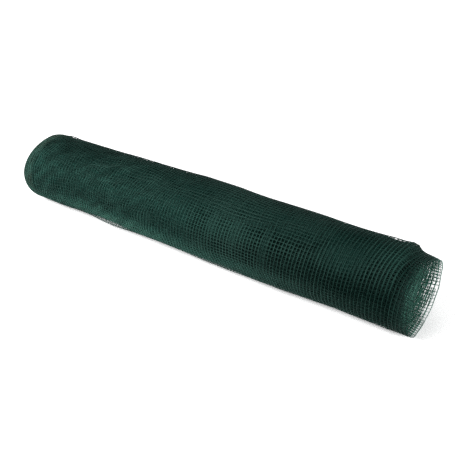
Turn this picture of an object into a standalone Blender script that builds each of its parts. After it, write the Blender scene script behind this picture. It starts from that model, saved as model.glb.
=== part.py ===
"""A hail net as it is stored: one knitted net, folded along its middle and wound into a roll.

The roll lies on the surface along X and rests on the narrow flat that its weight presses.
At +X the slipped inner turns stand out of the dense winding as a short see-through sleeve,
which is hollow, rests on the surface and sags at its top. At -X the winding ends in a
slightly leaning face. The loose outer edge of the net is a low step along the back.

Metres, +Z up. The origin is on the surface, under the middle of the roll's length.
Angles are round the roll's axis: 0 is its back (+Y), 90 degrees its top, 180 its front.
"""

import math
from typing import NamedTuple

import bmesh
import bpy

# Driving sizes of the net and its roll
MESH_PITCH = 0.008
ROLL_RADIUS = 0.0915
ROLL_LENGTH = 1.053
SLEEVE_LENGTH = 0.040
REST_HALF_WIDTH = 0.025
TOP_FLATTENING = 0.985

# The loose outer edge, a step that runs along the roll's back
EDGE_ANGLE = math.radians(-22)
EDGE_HALF_ANGLE = math.radians(0.5)
EDGE_STEP = 0.003

# The dense winding's two ends
FAR_LEAN = 0.030
FAR_ROUNDING = 0.012
SHOULDER_ROUNDING = 0.009
COARSE_TURN = 0.017
TURN_RELIEF = 0.0036
EYE_RADIUS = 0.007
EYE_DEPTH = 0.009
FACE_RINGS = 15
STATIONS = 13
STATION_MARGIN = 0.030

# The sleeve of slipped turns; its openings are cut at twice the net's own pitch
SLEEVE_RADIUS = 0.0885
SLEEVE_WALL = 0.0025
ROOT_SAG = 0.008
RIM_SAG = 0.018
SAG_MIDDLE = math.radians(76)
SAG_HALF_WIDTH = math.radians(84)
STRAND_WIDTH = 0.0025
RIM_WIDTH = 0.0055
OPENING_PITCH = 2 * MESH_PITCH
OPENING_ROWS = 2

# Worked out from the sizes above
TAU = 2 * math.pi
AXIS_HEIGHT = math.sqrt(ROLL_RADIUS**2 - REST_HALF_WIDTH**2) * TOP_FLATTENING
SLEEVE_AXIS_HEIGHT = math.sqrt(SLEEVE_RADIUS**2 - REST_HALF_WIDTH**2) * TOP_FLATTENING
FAR_X = -ROLL_LENGTH / 2
RIM_X = ROLL_LENGTH / 2
SHOULDER_X = RIM_X - SLEEVE_LENGTH
STRANDS = round(TAU * SLEEVE_RADIUS / OPENING_PITCH)
COLUMNS = 2 * STRANDS


class Lump(NamedTuple):
    """One gentle wave of the winding's outside: its height, and how it runs round and along the roll."""

    height: float
    lobes: int
    waves: float
    phase: float


LUMPS = (
    Lump(height=0.0011, lobes=2, waves=1.3, phase=0.4),
    Lump(height=0.0007, lobes=3, waves=-2.1, phase=2.0),
    Lump(height=0.0005, lobes=5, waves=3.4, phase=4.1),
    Lump(height=0.0006, lobes=0, waves=4.5, phase=1.2),
)


def clear_scene():
    """Remove every object of the scene."""
    for item in list(bpy.data.objects):
        bpy.data.objects.remove(item, do_unlink=True)


def net_material():
    """The net's dark green plastic thread."""
    material = bpy.data.materials.new("net_thread")
    material.use_nodes = True
    shader = material.node_tree.nodes["Principled BSDF"]
    shader.inputs["Base Color"].default_value = (0.016, 0.062, 0.045, 1)
    shader.inputs["Roughness"].default_value = 0.55
    shader.inputs["Metallic"].default_value = 0
    material.diffuse_color = (0.03, 0.13, 0.09, 1)
    return material


def winding_angles():
    """One angle for each column of points on the winding, with two of them drawn to the loose edge."""
    angles = [(column + 0.5) * TAU / COLUMNS for column in range(COLUMNS)]
    edge = EDGE_ANGLE % TAU
    before = max(column for column in range(COLUMNS) if angles[column] <= edge)
    angles[before] = edge - EDGE_HALF_ANGLE
    angles[before + 1] = edge + EDGE_HALF_ANGLE
    return angles


def sleeve_angles():
    """One angle for each column on the sleeve, where two columns are the sides of one strand."""
    half_strand = STRAND_WIDTH / 2 / SLEEVE_RADIUS
    angles = []
    for strand in range(STRANDS):
        middle = (2 * strand + 1) * TAU / COLUMNS
        angles += [middle - half_strand, middle + half_strand]
    return angles


def winding_radius(angle, x):
    """The outermost turn's distance from the roll's axis: a spiral with one step, and gentle lumps."""
    past_edge = (angle - EDGE_ANGLE) % TAU
    spiral = EDGE_STEP * (past_edge / TAU - 1)
    lumps = 0
    for lump in LUMPS:
        lumps += lump.height * math.sin(lump.lobes * angle + lump.waves * TAU * x + lump.phase)
    return ROLL_RADIUS + spiral + lumps


def winding_point(angle, x, inset=0.0):
    """A point of the winding's section at x, inset from its outside and flat where it rests."""
    radius = winding_radius(angle, x)
    y = radius * math.cos(angle)
    z = max(0, AXIS_HEIGHT + TOP_FLATTENING * radius * math.sin(angle))
    keep = 1 - inset / radius
    return y * keep, AXIS_HEIGHT + (z - AXIS_HEIGHT) * keep


def turn_relief(angle, share):
    """How far the coarse turns stand out of an end face, at a share of the way out from its middle."""
    phase = ROLL_RADIUS * share / COARSE_TURN - (angle - EDGE_ANGLE) / TAU
    crest = 0.5 - 0.5 * math.cos(TAU * phase)
    uneven = 1 + 0.35 * math.sin(2 * angle + 9 * share)
    fade = min(1, share / 0.2, (1 - share) / 0.08)
    return TURN_RELIEF * crest * uneven * fade


def eye_dip(share):
    """How far the middle of an end face lies back, where the innermost turn leaves an eye."""
    reach = share * ROLL_RADIUS / (2 * EYE_RADIUS)
    return EYE_DEPTH * max(0, 1 - reach) ** 2


def far_face_x(z):
    """The far end's place along the roll, which leans back more and more towards its top."""
    return FAR_X + FAR_LEAN * (z / (2 * ROLL_RADIUS)) ** 2


def face_shares():
    """How far out from the middle each ring of an end face lies."""
    first = EYE_RADIUS / ROLL_RADIUS
    return [first + (1 - first) * ring / FACE_RINGS for ring in range(FACE_RINGS)]


def far_face_rings():
    """The rings of the far end face, from its eye outwards."""
    rings = []
    for share in face_shares():
        ring = []
        for angle in winding_angles():
            y, z = winding_point(angle, FAR_X, FAR_ROUNDING)
            y, z = y * share, AXIS_HEIGHT + (z - AXIS_HEIGHT) * share
            out = turn_relief(angle, share) - eye_dip(share)
            ring.append((far_face_x(z) + TURN_RELIEF - out, y, z))
        rings.append(ring)
    return rings


def far_edge_ring(turn):
    """One ring of the far end's rounded edge, a quarter circle from the face (0) to the side (1)."""
    inset = FAR_ROUNDING * (1 - math.sin(turn * math.pi / 2))
    back = FAR_ROUNDING * (1 - math.cos(turn * math.pi / 2))
    ring = []
    for angle in winding_angles():
        y, z = winding_point(angle, FAR_X, inset)
        ring.append((far_face_x(z) + back, y, z))
    return ring


def shoulder_ring(turn):
    """One ring of the rounded step from the winding's side (1) down to the sleeve's root (0)."""
    share = math.sin(turn * math.pi / 2)
    x = SHOULDER_X - SHOULDER_ROUNDING * (1 - math.cos(turn * math.pi / 2))
    ring = []
    for angle, sleeve_angle in zip(winding_angles(), sleeve_angles()):
        outer = winding_point(angle, SHOULDER_X)
        root = sleeve_point(sleeve_angle, 0, 0)
        ring.append((x, *(low + (high - low) * share for low, high in zip(root, outer))))
    return ring


def winding_rings():
    """The rings of the dense winding's outside, from the far end to the shoulder."""
    rings = [far_edge_ring(turn) for turn in (0, 1 / 3, 2 / 3, 1)]
    first = FAR_X + FAR_LEAN + FAR_ROUNDING + STATION_MARGIN
    last = SHOULDER_X - SHOULDER_ROUNDING - STATION_MARGIN
    for station in range(STATIONS):
        x = first + (last - first) * station / (STATIONS - 1)
        rings.append([(x, *winding_point(angle, x)) for angle in winding_angles()])
    rings += [shoulder_ring(turn) for turn in (1, 2 / 3, 1 / 3)]
    return rings


def sleeve_point(angle, along, depth):
    """A point of the sleeve, at a share along it and a depth into its wall; its top sags towards the rim."""
    radius = SLEEVE_RADIUS
    y = radius * math.cos(angle)
    z = SLEEVE_AXIS_HEIGHT + TOP_FLATTENING * radius * math.sin(angle)
    away = abs((angle - SAG_MIDDLE + math.pi) % TAU - math.pi) / SAG_HALF_WIDTH
    sag = ROOT_SAG + (RIM_SAG - ROOT_SAG) * along
    z = max(0, z - sag * math.cos(min(1, away) * math.pi / 2) ** 2)
    keep = 1 - depth / radius
    return y * keep, SLEEVE_AXIS_HEIGHT + (z - SLEEVE_AXIS_HEIGHT) * keep


def sleeve_rows():
    """The distances from the shoulder of the sleeve's cross strands' sides: root, middle and rim."""
    rim = SLEEVE_LENGTH - RIM_WIDTH
    rows = []
    for row in range(OPENING_ROWS):
        rows += [rim - row * OPENING_PITCH, rim - (row + 1) * OPENING_PITCH + STRAND_WIDTH]
    return [0.001] + sorted(rows) + [SLEEVE_LENGTH]


def sleeve_rings(depth):
    """The rings of the sleeve's outside or, at a depth, of its inside, from root to rim."""
    rings = []
    for distance in sleeve_rows():
        x = SHOULDER_X + distance
        along = distance / SLEEVE_LENGTH
        rings.append([(x, *sleeve_point(angle, along, depth)) for angle in sleeve_angles()])
    return rings


def near_face_rings():
    """The rings of the dense winding's face inside the sleeve, from the sleeve's wall to the eye."""
    rings = []
    for share in reversed(face_shares()):
        ring = []
        for angle in winding_angles():
            y, z = sleeve_point(angle, 0, SLEEVE_WALL)
            y, z = y * share, SLEEVE_AXIS_HEIGHT + (z - SLEEVE_AXIS_HEIGHT) * share
            out = turn_relief(angle, share) - eye_dip(share)
            ring.append((SHOULDER_X - TURN_RELIEF + out, y, z))
        rings.append(ring)
    return rings


def add_rings(mesh, rings):
    """The mesh's points for these rings, as a list of rings."""
    return [[mesh.verts.new(point) for point in ring] for ring in rings]


def join_rings(mesh, rings):
    """Faces between each ring and the next, all the way round."""
    for low, high in zip(rings, rings[1:]):
        for column in range(COLUMNS):
            after = (column + 1) % COLUMNS
            mesh.faces.new((low[column], low[after], high[after], high[column]))


def close_eye(mesh, ring, x):
    """A fan of faces that closes an end face's innermost ring."""
    middle = mesh.verts.new((x, 0, sum(point.co.z for point in ring) / COLUMNS))
    for column in range(COLUMNS):
        mesh.faces.new((ring[column], ring[(column + 1) % COLUMNS], middle))


def cut_openings(mesh, outside, inside):
    """The sleeve's openings: each takes a face out of both walls and lines the hole."""
    for row in range(1, 2 * OPENING_ROWS, 2):
        for strand in range(STRANDS):
            column = 2 * strand + 1
            after = (column + 1) % COLUMNS
            rims = []
            for wall in (outside, inside):
                rim = (wall[row][column], wall[row][after], wall[row + 1][after], wall[row + 1][column])
                mesh.faces.remove(mesh.faces.get(rim))
                rims.append(rim)
            for side in range(4):
                turn = (side + 1) % 4
                mesh.faces.new((rims[0][side], rims[0][turn], rims[1][turn], rims[1][side]))


def build_net_roll():
    """The whole net: the dense winding, and the sleeve of slipped turns, as one closed body."""
    mesh = bmesh.new()
    far_face = add_rings(mesh, far_face_rings())
    winding = add_rings(mesh, winding_rings())
    outside = add_rings(mesh, sleeve_rings(0))
    inside = add_rings(mesh, sleeve_rings(SLEEVE_WALL))
    near_face = add_rings(mesh, near_face_rings())
    join_rings(mesh, far_face + winding + outside + inside[::-1] + near_face)
    close_eye(mesh, far_face[0], far_face_x(AXIS_HEIGHT) + TURN_RELIEF + EYE_DEPTH)
    close_eye(mesh, near_face[-1], SHOULDER_X - TURN_RELIEF - EYE_DEPTH)
    cut_openings(mesh, outside, inside)
    bmesh.ops.recalc_face_normals(mesh, faces=mesh.faces)
    sides = [point.co.y for point in mesh.verts]
    bmesh.ops.translate(mesh, verts=mesh.verts, vec=(0, -(min(sides) + max(sides)) / 2, 0))

    data = bpy.data.meshes.new("net_roll")
    mesh.to_mesh(data)
    mesh.free()
    data.materials.append(net_material())
    roll = bpy.data.objects.new("net_roll", data)
    bpy.context.collection.objects.link(roll)
    data.shade_smooth()
    data.set_sharp_from_angle(angle=math.radians(35))
    return roll


clear_scene()
build_net_roll()
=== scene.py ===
"""Looks of the hail net: one knitted plastic net, folded along its middle and wound into a roll.

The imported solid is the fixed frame, and its outside is repeated here in RollShape. Each thread
that shows is a real tube: the outer plies of the winding, the folded sleeve of slipped turns that
stands out at the near end, and the folds and selvedges that make the two end faces. A dark core
stands for all the thread that lies deeper.

Metres, +Z up. The roll lies along X. Angles round it: 0 is its back (+Y), 90 degrees its top and
180 its front. On the net itself, u counts meshes from the fold at +X towards the selvedge, and w
is the winding angle in radians from the loose outer edge inwards.
"""

import logging
import math
from collections import defaultdict
from collections.abc import Callable
from dataclasses import dataclass, field
from enum import Enum
from functools import partial

import bpy
import numpy as np
from bpy.types import ID, Material, Mesh, Node, NodeSocket, NodeTree, Object
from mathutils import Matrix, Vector


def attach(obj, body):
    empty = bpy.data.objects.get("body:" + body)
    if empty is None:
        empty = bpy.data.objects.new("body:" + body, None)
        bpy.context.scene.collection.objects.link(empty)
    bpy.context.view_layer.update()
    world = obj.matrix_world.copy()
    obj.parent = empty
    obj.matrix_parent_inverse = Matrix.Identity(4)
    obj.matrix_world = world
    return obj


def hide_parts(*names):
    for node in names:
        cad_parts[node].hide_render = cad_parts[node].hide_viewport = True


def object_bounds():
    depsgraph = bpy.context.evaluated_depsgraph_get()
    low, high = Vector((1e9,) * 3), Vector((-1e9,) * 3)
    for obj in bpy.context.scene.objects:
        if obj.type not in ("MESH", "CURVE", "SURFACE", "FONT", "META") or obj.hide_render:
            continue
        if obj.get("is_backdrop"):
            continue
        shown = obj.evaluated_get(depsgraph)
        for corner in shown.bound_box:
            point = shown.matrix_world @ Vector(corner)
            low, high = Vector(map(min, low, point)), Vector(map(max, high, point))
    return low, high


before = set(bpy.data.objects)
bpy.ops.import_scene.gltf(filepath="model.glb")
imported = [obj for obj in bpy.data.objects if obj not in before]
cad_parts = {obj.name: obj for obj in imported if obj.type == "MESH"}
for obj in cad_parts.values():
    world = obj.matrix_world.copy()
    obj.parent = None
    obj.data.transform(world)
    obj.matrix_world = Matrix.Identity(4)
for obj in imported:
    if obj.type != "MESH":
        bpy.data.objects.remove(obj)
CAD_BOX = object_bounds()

LOG = logging.getLogger("hail_net")
TAU = 2 * math.pi
BODY = "root"
NODE = "net_roll"
# The share of a net's rectangle that counts as its area, how steeply a patch fades at its edge,
# and a spread in metres that takes in the whole roll.
PATCH_FALL = 1.3
ALL_ALONG = 10.0

Array = np.ndarray
Numbers = float | Array
Shade = Callable[[Array, Array], Array]
Span = tuple[float, float]
Place = tuple[float, float, float]
Colour = tuple[float, float, float]
Value = float | Colour | NodeSocket


class Side(Enum):
    """The two halves of the folded net that lie on each other in every turn."""

    OUTER = 0
    INNER = 1


class Thread(Enum):
    """The two kinds of thread in the knit, by their material's index on each piece."""

    CHAIN = 0
    WEFT = 1


def ramp(value: Array, start: Numbers, end: Numbers) -> Array:
    """0 up to the start and 1 from the end on, which may be the lower one, and straight between."""
    return np.clip((value - start) / (end - start), 0, 1)


def eased(share: Array) -> Array:
    """A share from 0 to 1 that starts and stops gently."""
    return share * share * (3 - 2 * share)


def turned(angle: Array, circle: float = 360.0) -> Array:
    """Angles brought to within half a circle of 0."""
    return np.mod(angle + circle / 2, circle) - circle / 2


def split(w: Array, steps: int) -> Array:
    """Winding angles with each step between them cut into equal smaller ones."""
    return np.interp(np.arange(steps * (len(w) - 1) + 1) / steps, np.arange(len(w)), w)


@dataclass(frozen=True)
class Unevenness:
    """Smooth seeded unevenness over the net: a sum of sine waves across and along it.

    height is its usual size. across and along give the lowest and highest number of waves for
    each mesh across the net and for each radian of the winding.
    """

    seed: int
    height: float
    across: Span
    along: Span
    waves: int = 8

    def at(self, u: Array, w: Array) -> Array:
        """Read the unevenness at places on the net.

        Args:
            u: Meshes from the fold.
            w: Winding angles from the loose edge.

        Returns:
            The unevenness at each place, with a usual size of height.
        """
        draw = np.random.default_rng(self.seed)
        total = np.zeros(np.broadcast(u, w).shape)
        for _ in range(self.waves):
            across = draw.uniform(*self.across) * draw.choice((-1.0, 1.0))
            along = draw.uniform(*self.along)
            total = total + np.sin(TAU * (across * u + along * w + draw.random()))
        return self.height * total / math.sqrt(self.waves / 2)


Pair = tuple[Unevenness, Unevenness]


def both_plies(seed: int, height: float, across: Span, along: Span, waves: int = 8) -> Pair:
    """Two unevennesses of the same kind, with this seed and the next one."""
    return tuple(Unevenness(seed + step, height, across, along, waves) for step in range(len(Side)))


@dataclass(frozen=True)
class Patch:
    """A soft patch on the roll: its place in degrees and metres, its spread, and its amount."""

    degrees: float
    x: float
    spread_degrees: float
    spread_x: float
    amount: float = 1.0

    def share(self, degrees: Array, x: Numbers) -> Array:
        """How much the patch counts: 1 in its middle, fading to 0 outside it."""
        away = turned(degrees - self.degrees) / self.spread_degrees
        return np.exp(-((away**2 + ((x - self.x) / self.spread_x) ** 2) ** PATCH_FALL))


@dataclass(frozen=True)
class Slip(Patch):
    """A patch where the plies have slipped on each other, so that their threads fill the gaps.

    across and along are how far the next ply has slipped, in meshes across and along the net.
    """

    across: float = 0.5
    along: float = 0.5


@dataclass(frozen=True)
class Lump:
    """One gentle wave of the winding's outside: its height, and how it runs round and along."""

    height: float
    lobes: int
    waves: float
    phase: float


@dataclass(frozen=True)
class RollShape:
    """The outside of the wound roll, with the solid's own sizes."""

    radius: float = 0.0915
    length: float = 1.053
    sleeve_length: float = 0.040
    rest_half_width: float = 0.025
    flattening: float = 0.985
    edge_angle: float = math.radians(-22)
    edge_step: float = 0.003
    far_lean: float = 0.030
    far_lean_power: int = 4
    far_rounding: float = 0.012
    sleeve_radius: float = 0.0885
    root_sag: float = 0.008
    rim_sag: float = 0.018
    sag_middle: float = math.radians(76)
    sag_half_width: float = math.radians(84)
    shoulder_start: float = 0.011
    shoulder_end: float = 0.004
    lumps: tuple[Lump, ...] = (
        Lump(height=0.0011, lobes=2, waves=1.3, phase=0.4),
        Lump(height=0.0007, lobes=3, waves=-2.1, phase=2.0),
        Lump(height=0.0005, lobes=5, waves=3.4, phase=4.1),
        Lump(height=0.0006, lobes=0, waves=4.5, phase=1.2),
    )
    shift_y: float = 0.0
    floor_clearance: float = 0.0006
    probes_round: int = 721
    probes_along: int = 13
    probed_half: float = 0.45

    @property
    def rim_x(self) -> float:
        """The place of the fold along the roll."""
        return self.length / 2

    @property
    def shoulder_x(self) -> float:
        """The place where the dense winding ends."""
        return self.rim_x - self.sleeve_length

    def axis_height(self, radius: float) -> float:
        """The height of the axis of a winding of this radius, which rests on a flat strip."""
        return math.sqrt(radius**2 - self.rest_half_width**2) * self.flattening

    def angle(self, w: Array) -> Array:
        """The angle round the roll of winding angles from the loose edge."""
        return self.edge_angle + TAU - w

    def away(self, w: Array, degrees: float) -> Array:
        """How many degrees round the roll winding angles w lie away from a place."""
        return turned(np.degrees(self.angle(w)) - degrees)

    def share(self, patch: Patch, w: Array, x: Numbers) -> Array:
        """How much a patch counts at winding angles w and places x."""
        return patch.share(np.degrees(self.angle(w)), x)

    def total(self, patches: tuple[Patch, ...], w: Array, x: Numbers = 0.0) -> Array:
        """The amounts of all the patches together at winding angles w and places x."""
        return sum(patch.amount * self.share(patch, w, x) for patch in patches)

    def outer_radius(self, w: Array, x: Array) -> Array:
        """The solid's radius in the outermost turn.

        Args:
            w: Winding angles; only their place within a turn counts.
            x: Places along the roll.

        Returns:
            The distance from the axis to the outside.
        """
        angle = self.angle(w)
        radius = self.radius - self.edge_step * np.mod(w, TAU) / TAU
        for lump in self.lumps:
            phase = lump.lobes * angle + lump.waves * TAU * x + lump.phase
            radius = radius + lump.height * np.sin(phase)
        return radius

    def section(self, w: Array, inset: Numbers, radius: Numbers, axis: float, sag: Numbers = 0.0) -> Array:
        """A section of the roll, flat where it rests.

        Args:
            w: Winding angles.
            inset: Depths below the outside.
            radius: The outside's radius.
            axis: The height of the section's axis.
            sag: How far the outside has sunk.

        Returns:
            The points' y and z, y first.
        """
        high = axis + self.flattening * radius * np.sin(self.angle(w)) - sag
        keep = 1 - inset / radius
        y = radius * np.cos(self.angle(w)) * keep
        return np.stack((y, axis + (np.maximum(0, high) - axis) * keep))

    def winding(self, w: Array, x: Array, inset: Array) -> Array:
        """A section of the dense winding at winding angles w, places x and depths inset."""
        return self.section(w, inset, self.outer_radius(w, x), self.axis_height(self.radius))

    def sleeve(self, w: Array, x: Array, inset: Array) -> Array:
        """A section of the hollow sleeve, whose top sags more and more towards the rim.

        Args:
            w: Winding angles.
            x: Places along the roll.
            inset: Depths below the sleeve's outside.

        Returns:
            The points' y and z, y first.
        """
        away = turned(self.angle(w) - self.sag_middle, TAU) / self.sag_half_width
        sag = self.root_sag + (self.rim_sag - self.root_sag) * ramp(x, self.shoulder_x, self.rim_x)
        sag = sag * np.cos(np.clip(away, -1, 1) * math.pi / 2) ** 2
        axis = self.axis_height(self.sleeve_radius)
        return self.section(w, inset, self.sleeve_radius, axis, sag)

    def points(self, w: Array, x: Numbers, inset: Numbers) -> Array:
        """Points at a depth below the roll's outside, on the winding and on the sleeve.

        Args:
            w: Winding angles.
            x: Places along the roll.
            inset: Depths below the outside.

        Returns:
            The points, with x, y and z last.
        """
        w, x, inset = np.broadcast_arrays(w, x, inset)
        shoulder = (self.shoulder_x - self.shoulder_start, self.shoulder_x + self.shoulder_end)
        dense = self.winding(w, x, inset)
        y, z = dense + (self.sleeve(w, x, inset) - dense) * eased(ramp(x, *shoulder))
        return np.stack((x, y + self.shift_y, np.maximum(z, self.floor_clearance)), axis=-1)

    def far_face(self, w: Array, inset: Array) -> Array:
        """The place of the far end along the roll, which leans and has a rounded corner.

        Args:
            w: Winding angles.
            inset: Depths below the outside.

        Returns:
            The far end's x at each place.
        """
        _, high = self.winding(w, np.full_like(w, -self.rim_x), inset)
        corner = self.far_rounding
        rounding = corner - np.sqrt(corner**2 - np.clip(corner - inset, 0, corner) ** 2)
        lean = self.far_lean * (high / (2 * self.radius)) ** self.far_lean_power
        return -self.rim_x + lean + rounding

    def centred(self) -> "RollShape":
        """The same shape, moved across the roll as the solid is.

        Returns:
            A shape whose box has its middle at y = 0.
        """
        round_it = np.linspace(0, TAU, self.probes_round)
        along = np.linspace(-self.probed_half, self.probed_half, self.probes_along)
        sides = self.points(round_it, along[:, None], 0.0)[..., 1]
        return RollShape(shift_y=-float(sides.min() + sides.max()) / 2)


@dataclass
class WoundNet:
    """The folded net as it is wound: where each of its meshes lies in space.

    A range such as lean_ends is where a change starts and where it is complete. The patches are
    placed where the roll looks different from its surroundings.
    """

    shape: RollShape
    meshes: int = 131
    sleeve_meshes: int = 5
    dense_turns: int = 3
    all_turns: float = 34.5
    spare_turns: int = 3
    samples_a_turn: int = 720
    weft_pitch: float = 0.007975
    chain_radius: float = 0.00055
    weft_thin: float = 0.00026
    weft_swell: float = 0.00017
    weft_swell_x: float = 0.10
    weft_swell_reach: float = 0.13
    ply_gap: float = 0.0014
    turn_gap: float = 0.0024
    loose_turns: int = 2
    far_edge_inset: float = 0.0007
    edge_curl: float = 0.0016
    edge_overhang: float = 0.0032
    curl_length: float = 0.012
    flap_lift: float = 0.0009
    flap_fade: float = 0.12
    flap_waves: float = 0.9
    puffs: tuple[Patch, ...] = (
        Patch(57, 0.436, 10, 0.020, 0.0012),
        Patch(60, -0.460, 9, 0.018, 0.0024),
        Patch(228, -0.258, 12, 0.058, 0.0045),
        Patch(232, 0.060, 9, 0.080, 0.0022),
        Patch(300, 0.120, 14, 0.060, 0.0016),
        Patch(20, -0.150, 12, 0.050, 0.0020),
    )
    bulges: tuple[Patch, ...] = (
        Patch(62, 0.020, 40, 0.130, 0.0042),
        Patch(236, 0.220, 34, 0.130, 0.0050),
        Patch(62, 0.474, 26, 0.014, 0.0022),
    )
    hollows: tuple[Patch, ...] = (
        Patch(60, 0.440, 11, 0.013, 0.0026),
        Patch(60, 0.325, 8, 0.012, 0.0004),
        Patch(228, -0.270, 14, 0.066, 0.0034),
        Patch(60, -0.215, 9, 0.018, 0.0022),
    )
    slips: tuple[Slip, ...] = (
        Slip(134, 0.365, 24, 0.055, across=0.50, along=0.45),
        Slip(175, 0.430, 16, 0.050, across=0.10, along=0.50),
        Slip(130, 0.455, 62, 0.085, across=0.10, along=0.50),
        Slip(145, 0.110, 34, 0.080, across=0.24, along=0.04),
        Slip(150, 0.060, 46, 0.011, across=0.34, along=0.20),
        Slip(150, 0.121, 46, 0.008, across=0.34, along=0.10),
        Slip(150, 0.199, 46, 0.010, across=0.50, along=0.25),
        Slip(142, -0.062, 34, 0.045, across=1.60, along=1.20),
        Slip(102, 0.140, 15, 0.070, across=0.50, along=0.40),
        Slip(330, 0.200, 40, 0.080, across=0.40, along=0.50),
        Slip(60, 0.476, 30, 0.022, across=0.50, along=0.50),
        Slip(320, 0.500, 95, 0.017, across=0.16, along=0.34),
    )
    slip_order: tuple[float, ...] = (0.0, 1.0, 0.5, -0.5, 0.25, 0.75)
    # Painted light and painted shade, patch by patch: above 0 the net is painted lighter and clearer, as on
    # the lower front where the floor's light falls and shines through, and below 0 it is painted darker, as
    # along the top edge and in a dark band on the front.
    painted_lights: tuple[Patch, ...] = (
        Patch(82, 0.000, 26, 0.700, -0.25),
        Patch(60, 0.000, 13, 0.700, -0.45),
        Patch(100, -0.400, 26, 0.110, -0.30),
        Patch(148, -0.220, 16, 0.300, 0.25),
        Patch(171, 0.330, 14, 0.200, -0.50),
        Patch(194, 0.465, 36, 0.100, -0.62),
        Patch(207, -0.190, 18, 0.330, 1.25),
        Patch(150, -0.515, 95, 0.028, 0.30),
        Patch(140, -0.470, 62, 0.040, 0.35),
        Patch(150, 0.070, 26, 0.130, 0.26),
        Patch(150, 0.360, 80, 0.075, -0.12),
        Patch(124, 0.468, 26, 0.025, 0.18),
    )
    even_patches: tuple[Patch, Patch] = (
        Patch(92, 0, 26, ALL_ALONG),
        Patch(134, 0.365, 22, 0.050),
    )
    weft_bunches: tuple[Patch, ...] = (Patch(60, 0, 16, ALL_ALONG, 0.9),)
    weft_thins: tuple[Patch, ...] = (Patch(108, 0.385, 30, 0.100, 0.65),)
    chain_bunches: tuple[Patch, ...] = (
        Patch(60, 0.470, 34, 0.020, 0.70),
        Patch(108, 0.385, 30, 0.100, 0.15),
    )
    skew: Unevenness = Unevenness(11, 0.13, (0.004, 0.014), (0.15, 0.55))
    slant: Unevenness = Unevenness(12, 0.012, (0.010, 0.035), (0.20, 0.80))
    wanders: tuple[Pair, Pair] = (
        both_plies(21, 1.0, (0.004, 0.020), (0.06, 0.30)),
        both_plies(31, 1.0, (0.006, 0.030), (0.08, 0.40)),
    )
    jitters: Pair = (
        Unevenness(41, 1.0, (0.21, 0.49), (0.6, 3.2), waves=14),
        Unevenness(42, 1.0, (0.19, 0.47), (0.6, 3.2), waves=14),
    )
    jitter_sizes: Span = (0.035, 0.055)
    crumples: Pair = both_plies(61, 0.30, (0.020, 0.090), (0.40, 2.20), waves=12)
    crumpled_meshes: Span = (64, 90)
    ply_offset: float = 7.3
    parting_meshes: Span = (4, 8)
    edge_meshes: float = 2.5
    swell: Unevenness = Unevenness(51, 0.00035, (0.010, 0.060), (0.30, 1.50))
    swelling_meshes: Span = (0, 4)
    mottle: Unevenness = Unevenness(71, 0.17, (0.06, 0.26), (0.8, 3.4), waves=16)
    mottled_meshes: Span = (60, 90)
    tight_middle: float = 163.0
    tight_edge: Span = (27, 47)
    lean_middle: float = 58.0
    lean_half_width: float = 95.0
    lean_meshes: float = 2.2
    lean_starts: Span = (1, 6)
    lean_ends: Span = (26, 8)
    least_wander: Span = (0.06, 0.08)
    loose_wander: float = 0.55
    chain_far_wander: float = 0.60
    chain_far_meshes: Span = (64, 76)
    chain_loose_meshes: Span = (22, 31)
    weft_end_wander: float = 0.65
    weft_middle: float = 46.0
    weft_end_meshes: Span = (20, 34)
    fold_grip: float = 0.25
    gripped_meshes: Span = (0, 6)
    # Painted light and painted shade on the folded end: painted dark on the front next to the shoulder,
    # further along at the bottom, and painted lit elsewhere.
    mouth_painted_lit: float = 1.6
    mouth_front: float = 0.10
    mouth_shade: float = -0.80
    front_middle: float = 145.0
    front_edge: Span = (108, 82)
    shade_length: float = 0.040
    shade_low_length: float = 0.018
    shade_low_degrees: Span = (160, 200)
    shade_fade: float = 0.012
    deep_turns: Span = (8, 4)
    deep_shade: float = 0.85

    def mesh_at(self, x: Array) -> Array:
        """The mesh from the fold that lies at a place along the roll."""
        return (self.shape.rim_x - x) / self.shape.length * self.meshes

    def turn_sink(self, w: Array) -> Array:
        """How far the winding's radius has shrunk at winding angles w."""
        sink = self.shape.edge_step * np.minimum(w / TAU, self.loose_turns)
        return sink + self.turn_gap * np.maximum(0, w / TAU - self.loose_turns)

    def turn_depth(self, w: Array) -> Array:
        """How deep the turns lie below the solid's outside at winding angles w."""
        return self.turn_sink(w) - self.shape.edge_step * np.mod(w, TAU) / TAU

    def weft_angles(self, turns: float) -> Array:
        """The winding angles of the wefts, a mesh apart along the spiral.

        Args:
            turns: How many turns of the winding to follow.

        Returns:
            The winding angle of each weft, from the loose edge.
        """
        fine = np.linspace(0, turns * TAU, int(turns * self.samples_a_turn))
        radius = self.shape.radius - self.turn_sink(fine)
        length = np.concatenate(([0], np.cumsum(np.diff(fine) * (radius[1:] + radius[:-1]) / 2)))
        count = int(length[-1] / self.weft_pitch)
        return np.interp(np.arange(count + 1) * self.weft_pitch, length, fine)

    def turn_wefts(self, turn: int) -> Array:
        """The winding angles of one dense turn's wefts, with the first one of the next turn.

        Args:
            turn: The turn, 0 for the outermost.

        Returns:
            The winding angle of each weft.
        """
        angles = self.weft_angles(self.dense_turns + 1)
        inside = np.flatnonzero((angles >= turn * TAU) & (angles < (turn + 1) * TAU))
        return angles[inside[0] : inside[-1] + 2]

    def scatter(self, draw: np.random.Generator, spread: float, w: Array) -> Array:
        """How far each turn has slipped along the roll by chance.

        Args:
            draw: Where the random numbers come from.
            spread: The usual slip.
            w: Winding angles.

        Returns:
            The slip at each winding angle, which passes evenly from one turn to the next.
        """
        each = draw.normal(0, spread, int(self.all_turns) + self.spare_turns)
        return np.interp(w / TAU, np.arange(len(each)), each)

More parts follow.
